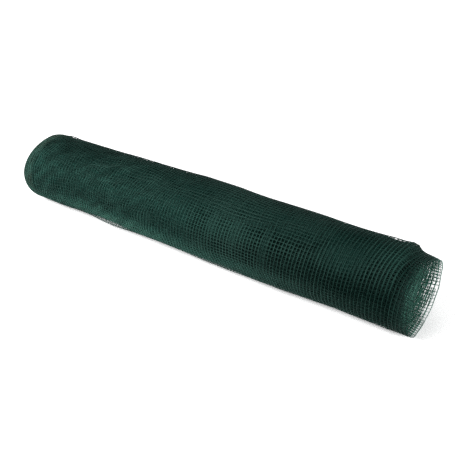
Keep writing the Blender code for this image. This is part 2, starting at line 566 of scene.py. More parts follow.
    def weft_radius(self, w: Array, x: Array) -> Array:
        """The wefts' radius, larger where the filling thread lies flat or bunches up.

        Args:
            w: Winding angles.
            x: Places along the roll.

        Returns:
            The radius at each place.
        """
        flat = np.exp(-(((x - self.weft_swell_x) / self.weft_swell_reach) ** 2))
        radius = (self.weft_thin + self.weft_swell * flat) * (1 + self.shape.total(self.weft_bunches, w, x))
        return radius * (1 - self.shape.total(self.weft_thins, w, x))

    def lean(self, u: Array, w: Array) -> Array:
        """How far the hoops lean towards the mouth at the shoulder's top.

        Args:
            u: Meshes from the fold.
            w: Winding angles.

        Returns:
            The lean at each place, in meshes.
        """
        away = self.shape.away(w, self.lean_middle)
        round_it = np.cos(np.clip(away / self.lean_half_width, -1, 1) * math.pi / 2) ** 2
        return self.lean_meshes * round_it * eased(ramp(u, *self.lean_starts)) * ramp(u, *self.lean_ends)

    def tone_and_painted_light(self, w: Array, x: Array) -> Array:
        """The tone and the painted light and shade at winding angles w and places x."""
        # Random mottling towards the far end, plus the patches of painted light and painted shade.
        mottled = self.mottle.at(self.mesh_at(x), w) * ramp(self.mesh_at(x), *self.mottled_meshes)
        return mottled + self.shape.total(self.painted_lights, w, x)

    def smooth(self, w: Array, x: Array) -> Array:
        """How evenly the plies read at winding angles w and places x, as they do at the top."""
        return np.maximum(*(self.shape.share(patch, w, x) for patch in self.even_patches))

    def mouth_painted_light(self, w: Array, x: Array) -> Array:
        """The painted light and painted shade of the folded end, lit where light falls on it or shines
        through it.

        Args:
            w: Winding angles.
            x: Places along the roll.

        Returns:
            The value: painted shade on the front next to the shoulder, and painted light elsewhere.
        """
        degrees = np.mod(np.degrees(self.shape.angle(w)), 360)
        front = ramp(np.abs(self.shape.away(w, self.front_middle)), *self.front_edge)
        front = front * np.maximum(self.deep_shade, ramp(w / TAU, *self.deep_turns))
        edge = self.shape.shoulder_x + self.shade_length
        edge = edge + self.shade_low_length * ramp(degrees, *self.shade_low_degrees)
        shaded = self.mouth_front + self.mouth_shade * ramp(x, edge, edge - self.shade_fade)
        return self.mouth_painted_lit + front * (shaded - self.mouth_painted_lit)

    def loose(self, w: Array) -> Array:
        """How loosely the plies lie: 0 on the front's middle band and 1 away from it."""
        return ramp(np.abs(self.shape.away(w, self.tight_middle)), *self.tight_edge)

    def wander_sizes(self, u: Array, w: Array) -> tuple[Array, Array]:
        """How far the threads of the plies wander apart.

        Args:
            u: Meshes from the fold.
            w: Winding angles.

        Returns:
            The chains' wander, more towards the far end, and the wefts', least a third of the
            way along the roll, in meshes.
        """
        loose = self.loose_wander * self.loose(w)
        far = self.chain_far_wander * ramp(u, *self.chain_far_meshes)
        chains = np.maximum(far, loose * ramp(u, *self.chain_loose_meshes))
        ends = self.weft_end_wander * ramp(np.abs(u - self.weft_middle), *self.weft_end_meshes)
        return self.least_wander[0] + chains, self.least_wander[1] + np.maximum(ends, loose)

    def slipped(self, u: Array, w: Array, side: Side) -> tuple[Array, Array]:
        """How far a ply has slipped in the patches where the plies don't match.

        Args:
            u: Meshes from the fold.
            w: Winding angles.
            side: Which half of the folded net.

        Returns:
            The slip across and along the net, in meshes.
        """
        x = self.shape.rim_x - u / self.meshes * self.shape.length
        turn = np.clip(np.floor(w / TAU), 0, self.dense_turns - 1).astype(int)
        order = np.array(self.slip_order)[side.value + len(Side) * turn]
        across, along = np.zeros(order.shape), np.zeros(order.shape)
        for slip in self.slips:
            share = self.shape.share(slip, w, x) * order
            across, along = across + slip.across * share, along + slip.along * share
        return across, along

    def wander(self, u: Array, w: Array, side: Side) -> tuple[Array, Array]:
        """The net's own unevenness, in meshes across it and in radians along it.

        Args:
            u: Meshes from the fold.
            w: Winding angles.
            side: Which half of the folded net.

        Returns:
            The places u and w after the net has skewed, wandered and settled.
        """
        mesh_angle = self.weft_pitch / self.shape.radius
        apart = side.value * ramp(u, *self.parting_meshes)
        crumpled = ramp(u, *self.crumpled_meshes) * (1 - 2 * side.value)
        own_u = u + self.ply_offset * side.value
        starts = (self.skew.at(u, w) - self.lean(u, w), self.slant.at(u, w) / mesh_angle)
        sizes, slips = self.wander_sizes(u, w), self.slipped(u, w, side)
        moves = []
        for way in range(2):
            first, own = (self.wanders[way][number].at(u, w) for number in (0, side.value))
            move = starts[way] + sizes[way] * (first + apart * (own - first))
            move = move + self.jitter_sizes[way] * self.jitters[way].at(own_u, w)
            moves.append(move + crumpled * self.crumples[way].at(own_u, w) + slips[way])
        held = ramp(u, 0, self.edge_meshes) * ramp(u, self.meshes, self.meshes - self.edge_meshes)
        free = self.fold_grip + (1 - self.fold_grip) * ramp(u, *self.gripped_meshes)
        return u + moves[0] * held, w + moves[1] * mesh_angle * free

    def place(self, u: Array, w: Array, side: Side) -> Array:
        """Lay places of the net on the winding.

        Args:
            u: Meshes from the fold.
            w: Winding angles.
            side: Which half of the folded net.

        Returns:
            Their points, with x, y and z last.
        """
        u, w = np.broadcast_arrays(np.asarray(u, float), np.asarray(w, float))
        outer = side is Side.OUTER
        flap = outer & (w < TAU)
        u, w = self.wander(u, w, side)
        inset = self.chain_radius + self.ply_gap * side.value + self.turn_depth(w)
        far = self.shape.far_face(w, inset) + self.far_edge_inset - self.edge_overhang * flap
        rim = self.shape.rim_x - self.chain_radius
        x = rim - u / self.meshes * (rim - far)
        inset = inset + self.edge_curl * ramp(x, far + self.curl_length, far) ** 2
        inset = inset + np.abs(self.swell.at(u, w)) * ramp(u, *self.swelling_meshes)
        top = outer & (w < TAU)
        inset = inset + ~top * self.shape.total(self.hollows, w, x)
        inset = inset - self.shape.total(self.bulges, w, x) - top * self.shape.total(self.puffs, w, x)
        lift = self.flap_lift * np.exp(-np.maximum(w, 0) / self.flap_fade)
        inset = inset - flap * lift * (1 + np.sin(u * self.flap_waves))
        return self.shape.points(w, x, inset)

    def outward(self, w: Array, shape: tuple[int, int]) -> Array:
        """Directions straight out of the roll at winding angles, for an array of that shape."""
        angle = np.broadcast_to(self.shape.angle(np.asarray(w, float)), shape)
        return np.stack((np.zeros(shape), np.cos(angle), np.sin(angle)), axis=-1)


def set_values(data: Mesh, name: str, values: Array) -> None:
    """Give each of a mesh's points a value of its own, which its material can read."""
    data.attributes.new(name, "FLOAT", "POINT").data.foreach_set("value", values.astype(np.float32))


def set_places(data: Mesh, name: str, places: Array) -> None:
    """Give a mesh a UV map with a place for each corner of its faces."""
    data.uv_layers.new(name=name).data.foreach_set("uv", places.astype(np.float32).ravel())


def dress(piece: Object) -> Object:
    """Let a finished piece ride on the roll's body and log its number of faces.

    Args:
        piece: The piece.

    Returns:
        The piece.
    """
    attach(piece, BODY)
    LOG.info("%s: %d faces", piece.name, len(piece.data.polygons))
    return piece


@dataclass
class TubeMesh:
    """A mesh of many thin tubes, made from arrays because a net has thousands of the same thread.

    Each tube's own shade is drawn when it is added.
    """

    net: WoundNet
    seed: int
    parts: dict[str, list[Array]] = field(default_factory=lambda: defaultdict(list))
    draw: np.random.Generator = field(init=False)
    used: int = 0

    def __post_init__(self) -> None:
        """Start the random draws."""
        self.draw = np.random.default_rng(self.seed)

    def rings(self, lines: Array, outward: Array, radius: Numbers, sides: int) -> Array:
        """The points of the tubes' sections.

        Args:
            lines: Points of the lines, as (line, point, xyz).
            outward: A direction at each point that the first side faces.
            radius: The tube's radius at each point, or one for all.
            sides: How many sides the tubes have.

        Returns:
            The points, as (line, point, side, xyz).
        """
        tangent = np.gradient(lines, axis=1)
        tangent /= np.linalg.norm(tangent, axis=-1, keepdims=True)
        across = np.cross(tangent, outward)
        across /= np.linalg.norm(across, axis=-1, keepdims=True)
        up = np.cross(across, tangent)
        turn = TAU * (np.arange(sides) + 0.5) / sides
        ring = np.cos(turn)[:, None] * across[:, :, None] + np.sin(turn)[:, None] * up[:, :, None]
        radius = np.broadcast_to(radius, lines.shape[:2])[:, :, None, None]
        return lines[:, :, None] + radius * ring

    def add(
        self,
        lines: Array,
        w: Array,
        radius: Numbers,
        tone_and_painted_light: Shade | None = None,
        sides: int = 3,
        thread: Thread = Thread.CHAIN,
        light: float = 1.0,
        fold: int | None = None,
    ) -> None:
        """Add one closed tube along each line.

        Args:
            lines: Points of the lines, as (line, point, xyz).
            w: The winding angle at each point.
            radius: The tube's radius at each point, or one for all.
            tone_and_painted_light: The tone and painted light at winding angles and places along the roll,
                if there is any.
            sides: How many sides the tube has.
            thread: Which kind of thread it is.
            light: The lightest shade that a tube may draw.
            fold: The point at which the lines turn back through the net's fold, if they do.
        """
        count, steps = lines.shape[:2]
        outward = self.net.outward(w, (count, steps))
        if fold is not None:
            outward[:, fold] = (1, 0, 0)
            outward[:, fold + 1 :] *= -1
        length = np.linalg.norm(np.diff(lines, axis=1), axis=-1)
        length = np.concatenate((np.zeros((count, 1)), np.cumsum(length, axis=1)), axis=1)
        index = self.used + np.arange(count * steps * sides).reshape(count, steps, sides)
        point = np.arange(steps - 1)[:, None, None] + (0, 1, 1, 0)
        side = np.arange(sides)[:, None] + (0, 0, 1, 1)
        quads = index[:, point, side % sides]
        places = np.stack(np.broadcast_arrays(length[:, point], side / sides), axis=-1)
        caps = np.concatenate((index[:, 0], index[:, -1, ::-1]))
        cap_along = np.repeat(np.concatenate((length[:, 0], length[:, -1])), sides)
        cap_places = np.stack((cap_along, np.full(len(cap_along), 0.5)), axis=-1)
        faces = (quads.size // 4, len(caps))
        painted_lights = np.broadcast_to(tone_and_painted_light(w, lines[..., 0]) if tone_and_painted_light else 0.0, (count, steps))
        made = {
            "point": self.rings(lines, outward, radius, sides).reshape(-1, 3),
            "corner": np.concatenate((quads.ravel(), caps.ravel())),
            "size": np.repeat((4, sides), faces),
            "place": np.concatenate((places.reshape(-1, 2), cap_places)),
            "thread": np.full(sum(faces), thread.value),
            "tone": np.repeat(light * self.draw.random(count), steps * sides),
            "tone_and_painted_light": np.repeat(painted_lights.ravel(), sides),
        }
        for name, values in made.items():
            self.parts[name].append(values)
        self.used += count * steps * sides

    def build(self, name: str, materials: list[Material]) -> Object:
        """Make the object of all the tubes added so far.

        Args:
            name: The piece's name.
            materials: Its materials, in the order of the kinds of thread.

        Returns:
            The dressed piece, at the origin.
        """
        joined = {key: np.concatenate(values) for key, values in self.parts.items()}
        data = bpy.data.meshes.new(name)
        data.vertices.add(len(joined["point"]))
        data.vertices.foreach_set("co", joined["point"].astype(np.float32).ravel())
        data.loops.add(len(joined["corner"]))
        data.loops.foreach_set("vertex_index", joined["corner"].astype(np.int32))
        data.polygons.add(len(joined["size"]))
        starts = np.concatenate(([0], np.cumsum(joined["size"])[:-1]))
        data.polygons.foreach_set("loop_start", starts.astype(np.int32))
        data.polygons.foreach_set("material_index", joined["thread"].astype(np.int32))
        data.update(calc_edges=True)
        set_places(data, "thread", joined["place"])
        set_values(data, "tone", joined["tone"])
        set_values(data, "tone_and_painted_light", joined["tone_and_painted_light"])
        data.validate()
        data.shade_smooth()
        for material in materials:
            data.materials.append(material)
        piece = bpy.data.objects.new(name, data)
        bpy.context.scene.collection.objects.link(piece)
        return dress(piece)


@dataclass
class NodeSheet:
    """A shorthand for laying shader nodes: it makes nodes and links and keeps them in columns."""

    tree: NodeTree
    columns: int = 12
    cell: tuple[int, int] = (220, -260)
    count: int = 0

    def feed(self, node: Node, values: dict) -> None:
        """Link or set a node's inputs.

        Args:
            node: The node.
            values: Input values or links by the input's name or index.
        """
        for key, value in values.items():
            if isinstance(value, NodeSocket):
                self.tree.links.new(value, node.inputs[key])
            else:
                node.inputs[key].default_value = value

    def node(self, kind: str, values: dict | None = None, **settings: object) -> Node:
        """Add a node.

        Args:
            kind: The node's type, without the word Shader before it and Node.
            values: Input values or links by the input's name or index.
            settings: The node's own properties.

        Returns:
            The new node.
        """
        node = self.tree.nodes.new(kind if kind.startswith("NodeGroup") else "ShaderNode" + kind)
        row, column = divmod(self.count, self.columns)
        node.location = (self.cell[0] * column, self.cell[1] * row)
        self.count += 1
        for key, value in settings.items():
            setattr(node, key, value)
        self.feed(node, values or {})
        return node

    def math(self, operation: str, *values: Value, clamp: bool = False) -> NodeSocket:
        """The result of a Math node on these values or sockets."""
        inputs = dict(enumerate(values))
        return self.node("Math", inputs, operation=operation, use_clamp=clamp).outputs[0]

    def mix(self, factor: Value, first: Value, second: Value) -> NodeSocket:
        """A colour between two, at a factor, each a socket or a colour of three numbers."""
        first, second = ((*part, 1) if isinstance(part, tuple) else part for part in (first, second))
        return self.node("Mix", {0: factor, 6: first, 7: second}, data_type="RGBA").outputs[2]

    def noise(self, place: NodeSocket, scale: float, detail: float) -> Node:
        """A noise texture with a scale and a detail, at a place."""
        return self.node("TexNoise", {"Vector": place, "Scale": scale, "Detail": detail})

    def attribute(self, name: str) -> NodeSocket:
        """The value that each point of the piece has under this name."""
        return self.node("Attribute", attribute_name=name).outputs["Fac"]


def new_group(name: str, inputs: dict, outputs: dict[str, str]) -> NodeSheet:
    """Start a shader node group.

    Args:
        name: The group's name.
        inputs: The type and the default value of each input, by its name.
        outputs: The type of each output, by its name.

    Returns:
        The group's own sheet, with nothing on it.
    """
    group = bpy.data.node_groups.new(name, "ShaderNodeTree")
    for socket, (kind, value) in inputs.items():
        made = group.interface.new_socket(name=socket, in_out="INPUT", socket_type=kind)
        made.default_value = value
    for socket, kind in outputs.items():
        group.interface.new_socket(name=socket, in_out="OUTPUT", socket_type=kind)
    return NodeSheet(group)


@dataclass(frozen=True)
class KnitStitches:
    """The knitted stitches along a thread: twisted strands, crossed by the loops."""

    stitch: float = 0.0026
    loops_a_stitch: float = 2.0
    loop_share: float = 0.6
    height_share: float = 0.3
    strand_painted_shade_share: float = 0.5

    def build(self) -> NodeTree:
        """Make the group.

        Returns:
            A group with a stitch length as its input, and a height and the strands' painted shading as its
            outputs.
        """
        number = "NodeSocketFloat"
        outputs = {"Height": number, "Shade": number}
        sheet = new_group("knit_stitches", {"Stitch": (number, self.stitch)}, outputs)
        length = sheet.node("NodeGroupInput").outputs["Stitch"]
        place = sheet.node("UVMap", uv_map="thread")
        parts = sheet.node("SeparateXYZ", {0: place.outputs[0]}).outputs
        along = sheet.math("DIVIDE", parts[0], length)
        twist = sheet.math("ADD", along, parts[1])
        strand = sheet.math("SINE", sheet.math("MULTIPLY", twist, TAU))
        counter = sheet.math("SUBTRACT", sheet.math("MULTIPLY", along, self.loops_a_stitch), parts[1])
        loop = sheet.math("SINE", sheet.math("MULTIPLY", counter, TAU))
        both = sheet.math("ADD", strand, sheet.math("MULTIPLY", loop, self.loop_share))
        height = sheet.math("MULTIPLY_ADD", both, self.height_share, 0.5, clamp=True)
        # Painted shading along the twisted strands, lighter on each crest.
        shade = sheet.math("MULTIPLY_ADD", strand, self.strand_painted_shade_share, 0.5, clamp=True)
        sheet.node("NodeGroupOutput", {"Height": height, "Shade": shade})
        return sheet.tree


@dataclass(frozen=True)
class HandlingHaze:
    """Dust and rubbed haze from handling, in broad patches and in fine specks.

    Each noise is a scale and a detail, and each contrast is a factor and what is then added.
    """

    broad_noise: Span = (7.0, 2.0)
    broad_contrast: Span = (2.4, -0.7)
    speck_noise: Span = (240.0, 3.0)
    speck_contrast: Span = (3.0, -1.1)
    least_specks: float = 0.3

    def build(self) -> NodeTree:
        """Make the group.

        Returns:
            A group with no inputs, and a haze and a broad tone as its outputs.
        """
        number = "NodeSocketFloat"
        sheet = new_group("handling_haze", {}, {"Haze": number, "Broad": number})
        place = sheet.node("TexCoord").outputs["Object"]
        broad = sheet.noise(place, *self.broad_noise).outputs[0]
        broad = sheet.math("MULTIPLY_ADD", broad, *self.broad_contrast, clamp=True)
        specks = sheet.noise(place, *self.speck_noise).outputs[0]
        specks = sheet.math("MULTIPLY_ADD", specks, *self.speck_contrast, clamp=True)
        share = sheet.math("MULTIPLY_ADD", broad, 1 - self.least_specks, self.least_specks)
        haze = sheet.math("MULTIPLY", specks, share)
        sheet.node("NodeGroupOutput", {"Haze": haze, "Broad": broad})
        return sheet.tree


@dataclass(frozen=True)
class PaintedLightTint:
    """Painted light and painted shade laid on a colour from each point's value."""

    # Painted light beyond the lit colour, and painted shade.
    bright: Colour = (0.062, 0.174, 0.132)
    dark: Colour = (0.0, 0.0048, 0.0036)

    def build(self) -> NodeTree:
        """Make the group.

        Returns:
            A group with a colour and its painted lit colour as its inputs, and a colour as its output:
            the painted lit one where the value is 1, painted brighter from 2 on and painted dark from -1
            down.
        """
        kind = "NodeSocketColor"
        inputs = {"Colour": (kind, (0, 0, 0, 1)), "Clear": (kind, (0, 0, 0, 1))}
        sheet = new_group("painted_light_group", inputs, {"Colour": kind})
        given = sheet.node("NodeGroupInput").outputs
        tone_and_painted_light = sheet.attribute("tone_and_painted_light")
        light = sheet.math("MULTIPLY", tone_and_painted_light, 1.0, clamp=True)
        brighter = sheet.math("SUBTRACT", tone_and_painted_light, 1.0, clamp=True)
        darker = sheet.math("MULTIPLY", tone_and_painted_light, -1.0, clamp=True)
        colour = sheet.mix(light, given["Colour"], given["Clear"])
        colour = sheet.mix(brighter, colour, self.bright)
        colour = sheet.mix(darker, colour, self.dark)
        sheet.node("NodeGroupOutput", {"Colour": colour})
        return sheet.tree


@dataclass(frozen=True)
class Effects:
    """The node groups that the finishes share."""

    knit: NodeTree
    haze: NodeTree
    tone_and_painted_light: NodeTree

    def with_painted_light(self, sheet: NodeSheet, colour: NodeSocket, clear: Colour) -> NodeSocket:
        """A colour with the piece's painted light and painted shade laid on it.

        Args:
            sheet: Where the nodes go.
            colour: The colour where the value is 0, with no light or shade painted.
            clear: The painted lit colour, where the value is 1.

        Returns:
            The changed colour.
        """
        node = sheet.node("Group", node_tree=self.tone_and_painted_light)
        sheet.feed(node, {"Colour": colour, "Clear": (*clear, 1)})
        return node.outputs[0]


def start_material(name: str, roughness: float, gloss: float) -> tuple[Material, Node]:
    """Start a material.

    Args:
        name: The material's name.
        roughness: Its roughness, if nothing is linked there.
        gloss: How much its surface mirrors.

    Returns:
        The material and its shader.
    """
    material = bpy.data.materials.new(name)
    material.use_nodes = True
    shader = material.node_tree.nodes["Principled BSDF"]
    shader.inputs["Roughness"].default_value = roughness
    shader.inputs["Specular IOR Level"].default_value = gloss
    return material, shader


@dataclass(frozen=True)
class ThreadFinish:
    """Dark green polyethylene thread: its colours, its gloss and its knitted stitches."""

    name: str
    deep: Colour
    lit: Colour
    stitch: float
    relief: float
    # Painted light: a lighter, clearer green standing for light that falls on the thin plastic and shines
    # through it.
    clear: Colour = (0.027, 0.079, 0.063)
    dust: Colour = (0.08, 0.24, 0.19)
    dust_share: float = 0.08
    own_share: float = 0.45
    stitch_share: float = 0.30
    broad_share: float = 0.25
    roughness: float = 0.42
    hazy_roughness: float = 0.25
    gloss: float = 0.035
    bump: float = 0.8

    def build(self, effects: Effects) -> Material:
        """Make the thread's material.

        Args:
            effects: The shared node groups.

        Returns:
            The finished material.
        """
        material, shader = start_material(self.name, self.roughness, self.gloss)
        sheet = NodeSheet(material.node_tree)
        knit = sheet.node("Group", node_tree=effects.knit)
        knit.inputs["Stitch"].default_value = self.stitch
        worn = sheet.node("Group", node_tree=effects.haze).outputs
        # From deep to lit: each thread's random tone, which carries the deeper turns' painted shade, the
        # strands' painted shading and a broad random tone.
        light = sheet.math("MULTIPLY", sheet.attribute("tone"), self.own_share)
        light = sheet.math("MULTIPLY_ADD", knit.outputs["Shade"], self.stitch_share, light)
        light = sheet.math("MULTIPLY_ADD", worn["Broad"], self.broad_share, light, clamp=True)
        with_painted_light = effects.with_painted_light(sheet, sheet.mix(light, self.deep, self.lit), self.clear)
        dust = sheet.math("MULTIPLY", worn["Haze"], self.dust_share)
        rough = sheet.math("MULTIPLY_ADD", worn["Haze"], self.hazy_roughness, self.roughness)
        relief = {"Strength": self.bump, "Distance": self.relief, "Height": knit.outputs["Height"]}
        finish = {
            "Base Color": sheet.mix(dust, with_painted_light, self.dust),
            "Roughness": rough,
            "Normal": sheet.node("Bump", relief).outputs[0],
        }
        sheet.feed(shader, finish)
        return material


@dataclass(frozen=True)
class CoreFinish:
    """The deep turns of the winding, read as rows of dark threads with painted shade in the gaps between.
    """

    name: str = "deep_turns"
    # Painted shade between the deep threads.
    gap: Colour = (0.0004, 0.0018, 0.0014)
    thread: Colour = (0.003, 0.013, 0.010)
    full: Colour = (0.006, 0.040, 0.031)
    chain_width: float = 0.40
    weft_width: float = 0.16
    weft_share: float = 0.6
    thread_share: float = 0.8
    broad_share: float = 0.3
    bend_noise: Span = (0.35, 2.0)
    bend: Place = (0.9, 0.9, 0.0)
    relief: float = 0.0008
    roughness: float = 0.9
    gloss: float = 0.03

    def build(self, effects: Effects) -> Material:
        """Make the core's material.

        Args:
            effects: The shared node groups.

        Returns:
            The finished material.
        """
        material, shader = start_material(self.name, self.roughness, self.gloss)
        sheet = NodeSheet(material.node_tree)
        worn = sheet.node("Group", node_tree=effects.haze).outputs
        place = sheet.node("UVMap", uv_map="meshes").outputs[0]
        noise = sheet.noise(place, *self.bend_noise).outputs["Color"]
        bend = {0: noise, 1: self.bend, 2: place}
        moved = sheet.node("VectorMath", bend, operation="MULTIPLY_ADD").outputs[0]
        parts = sheet.node("SeparateXYZ", {0: moved}).outputs
        weft = sheet.math("MULTIPLY", self.rows(sheet, parts[1], self.weft_width), self.weft_share)
        threads = sheet.math("MAXIMUM", self.rows(sheet, parts[0], self.chain_width), weft)
        tone = sheet.math("MULTIPLY", threads, self.thread_share)
        tone = sheet.math("MULTIPLY_ADD", worn["Broad"], self.broad_share, tone)
        open_rows = sheet.mix(tone, self.gap, self.thread)
        full_rows = sheet.mix(tone, self.thread, self.full)
        colour = sheet.mix(sheet.attribute("filled"), open_rows, full_rows)
        relief = {"Strength": 1.0, "Distance": self.relief, "Height": threads}
        normal = sheet.node("Bump", relief).outputs[0]
        # Painted light and painted shade as on the threads, with the full rows' colour as the painted lit
        # one.
        colour = effects.with_painted_light(sheet, colour, self.full)
        sheet.feed(shader, {"Base Color": colour, "Normal": normal})
        return material

    @staticmethod
    def rows(sheet: NodeSheet, place: NodeSocket, width: float) -> NodeSocket:
        """A mask of threads a mesh apart, each as wide as this share of a mesh, along a place."""
        away = sheet.math("ABSOLUTE", sheet.math("SUBTRACT", sheet.math("FRACT", place), 0.5))
        return sheet.math("SUBTRACT", 1.0, sheet.math("DIVIDE", away, width), clamp=True)


@dataclass
class PlyLayers:
    """The dense winding's outer plies, each a full turn of real chains and wefts."""

    net: WoundNet
    materials: list[Material]
    seed: int = 100
    seed_step: int = 10
    # Painted shade on the deeper turns: their tones and painted light are scaled down by these.
    painted_turn_light: tuple[float, ...] = (1.0, 0.7, 0.4)
    sheet_width: float = 1.01
    coarse_chain: float = 1.06
    chain_link: float = 0.84
    # The deeper turns keep their painted light at the far part, and get painted light where the plies read
    # evenly at the top.
    lit_far: Span = (-0.05, -0.20)
    lit_smooth: float = 0.6

    def shaded(self, light: float, w: Array, x: Array) -> Array:
        """The tone and painted light of a ply, with painted shade that depends on how deep it lies.

        Args:
            light: The ply's painted light, 1 for the outermost turn and less as painted shade on the deeper
                ones.
            w: Winding angles.
            x: Places along the roll.

        Returns:
            The value, its painted light dimmer in the deeper plies except at the roll's far part, and
            painted light added to them at the top.
        """
        tone_and_painted_light = self.net.tone_and_painted_light(w, x)
        dimmed = tone_and_painted_light * (light + (1 - light) * ramp(x, *self.lit_far))
        lit = self.lit_smooth * (1 - light) * self.net.smooth(w, x)
        return np.where(tone_and_painted_light > 0, dimmed, tone_and_painted_light) + lit

    def build_ply(self, turn: int, side: Side) -> None:
        """Args:
            turn: The turn, 0 for the outermost.
            side: Which half of the folded net.
        """
        net, light = self.net, self.painted_turn_light[turn]
        fine = turn == 0 and side is Side.OUTER
        steps, sides, thick = (2, 4, 1.0) if fine else (1, 3, self.coarse_chain)
        tubes = TubeMesh(net, self.seed + self.seed_step * turn + side.value)
        shade = partial(self.shaded, light)
        u = np.arange(net.sleeve_meshes, net.meshes + 1)
        wefts = net.turn_wefts(turn)
        w = split(wefts, steps)
        lines = net.place(u[:, None], w, side)
        links = np.where(np.arange(len(w)) % steps, self.chain_link, 1.0)
        radius = net.chain_radius * thick * links
        radius = radius * (1 + net.shape.total(net.chain_bunches, w, lines[..., 0]))
        tubes.add(lines, w, radius, shade, sides, light=light)
        w = (wefts[1:-1] if turn == 0 else wefts[:-1])[:, None]
        lines = net.place(u, w, side)
        radius = net.weft_radius(w, lines[..., 0])
        tubes.add(lines, w, radius, shade, thread=Thread.WEFT, light=light)
        piece = tubes.build(f"net_turn_{turn + 1}_{side.name.lower()}", self.materials)

    def build(self) -> None:
        """Make all the plies that can be seen through the ones above them."""
        plies = [(turn, side) for turn in range(self.net.dense_turns) for side in Side]
        for turn, side in plies[:-1]:
            self.build_ply(turn, side)


@dataclass
class FoldSleeve:
    """The folded near end of the outermost turn, which has slipped out of the winding."""

    net: WoundNet
    materials: list[Material]
    seed: int = 300
    steps: int = 2
    chain_radius: float = 0.00070
    weft_radius: float = 0.00044
    back_degrees: float = 20.0
    back_thickness: float = 0.45
    thickest: Patch = Patch(-32, 0, 24, ALL_ALONG, 0.30)
    rim_wave: float = 0.0004
    rim_waves: tuple[Span, ...] = ((5, 0.7), (11, 2.0))

    def build(self) -> None:
        """Make the sleeve's two plies and the fold between them at the rim."""
        net = self.net
        wefts = net.turn_wefts(0)
        w = split(wefts, self.steps)
        u = np.arange(net.sleeve_meshes + 1)
        tubes = TubeMesh(net, self.seed)
        # All the sleeve's threads carry the folded end's painted light and painted shade.
        for side in Side:
            lines = net.place(u[side.value :, None], w, side)
            if side is Side.OUTER:
                lines[0] = self.fold_line(w)
            tubes.add(lines, w, self.chain_radius * self.thickness(w), net.mouth_painted_light, sides=4)
        w = wefts[1:-1, None]
        outer, inner = (net.place(u[1:], w, side) for side in Side)
        lines = np.concatenate((outer[:, ::-1], self.fold_line(w), inner), axis=1)
        radius = self.weft_radius * self.thickness(w)
        tubes.add(lines, w, radius, net.mouth_painted_light, 4, Thread.WEFT, fold=net.sleeve_meshes)
        piece = tubes.build("net_sleeve", self.materials)

    def thickness(self, w: Array) -> Array:
        """How many times thicker the threads read at winding angles w: most at the back."""
        back = np.cos(self.net.shape.angle(w) - math.radians(self.back_degrees))
        return 1 + self.back_thickness * np.clip(back, 0, 1) + self.net.shape.total((self.thickest,), w)

    def fold_line(self, w: Array) -> Array:
        """The rim's points.

        Args:
            w: Winding angles.

        Returns:
            Points half way between the two plies, where the net turns back.
        """
        inset = self.net.chain_radius + self.net.ply_gap / 2
        uneven = self.rim_wave * sum(np.sin(waves * w + phase) - 1 for waves, phase in self.rim_waves)
        return self.net.shape.points(w, self.net.shape.rim_x - self.net.chain_radius + uneven, inset)


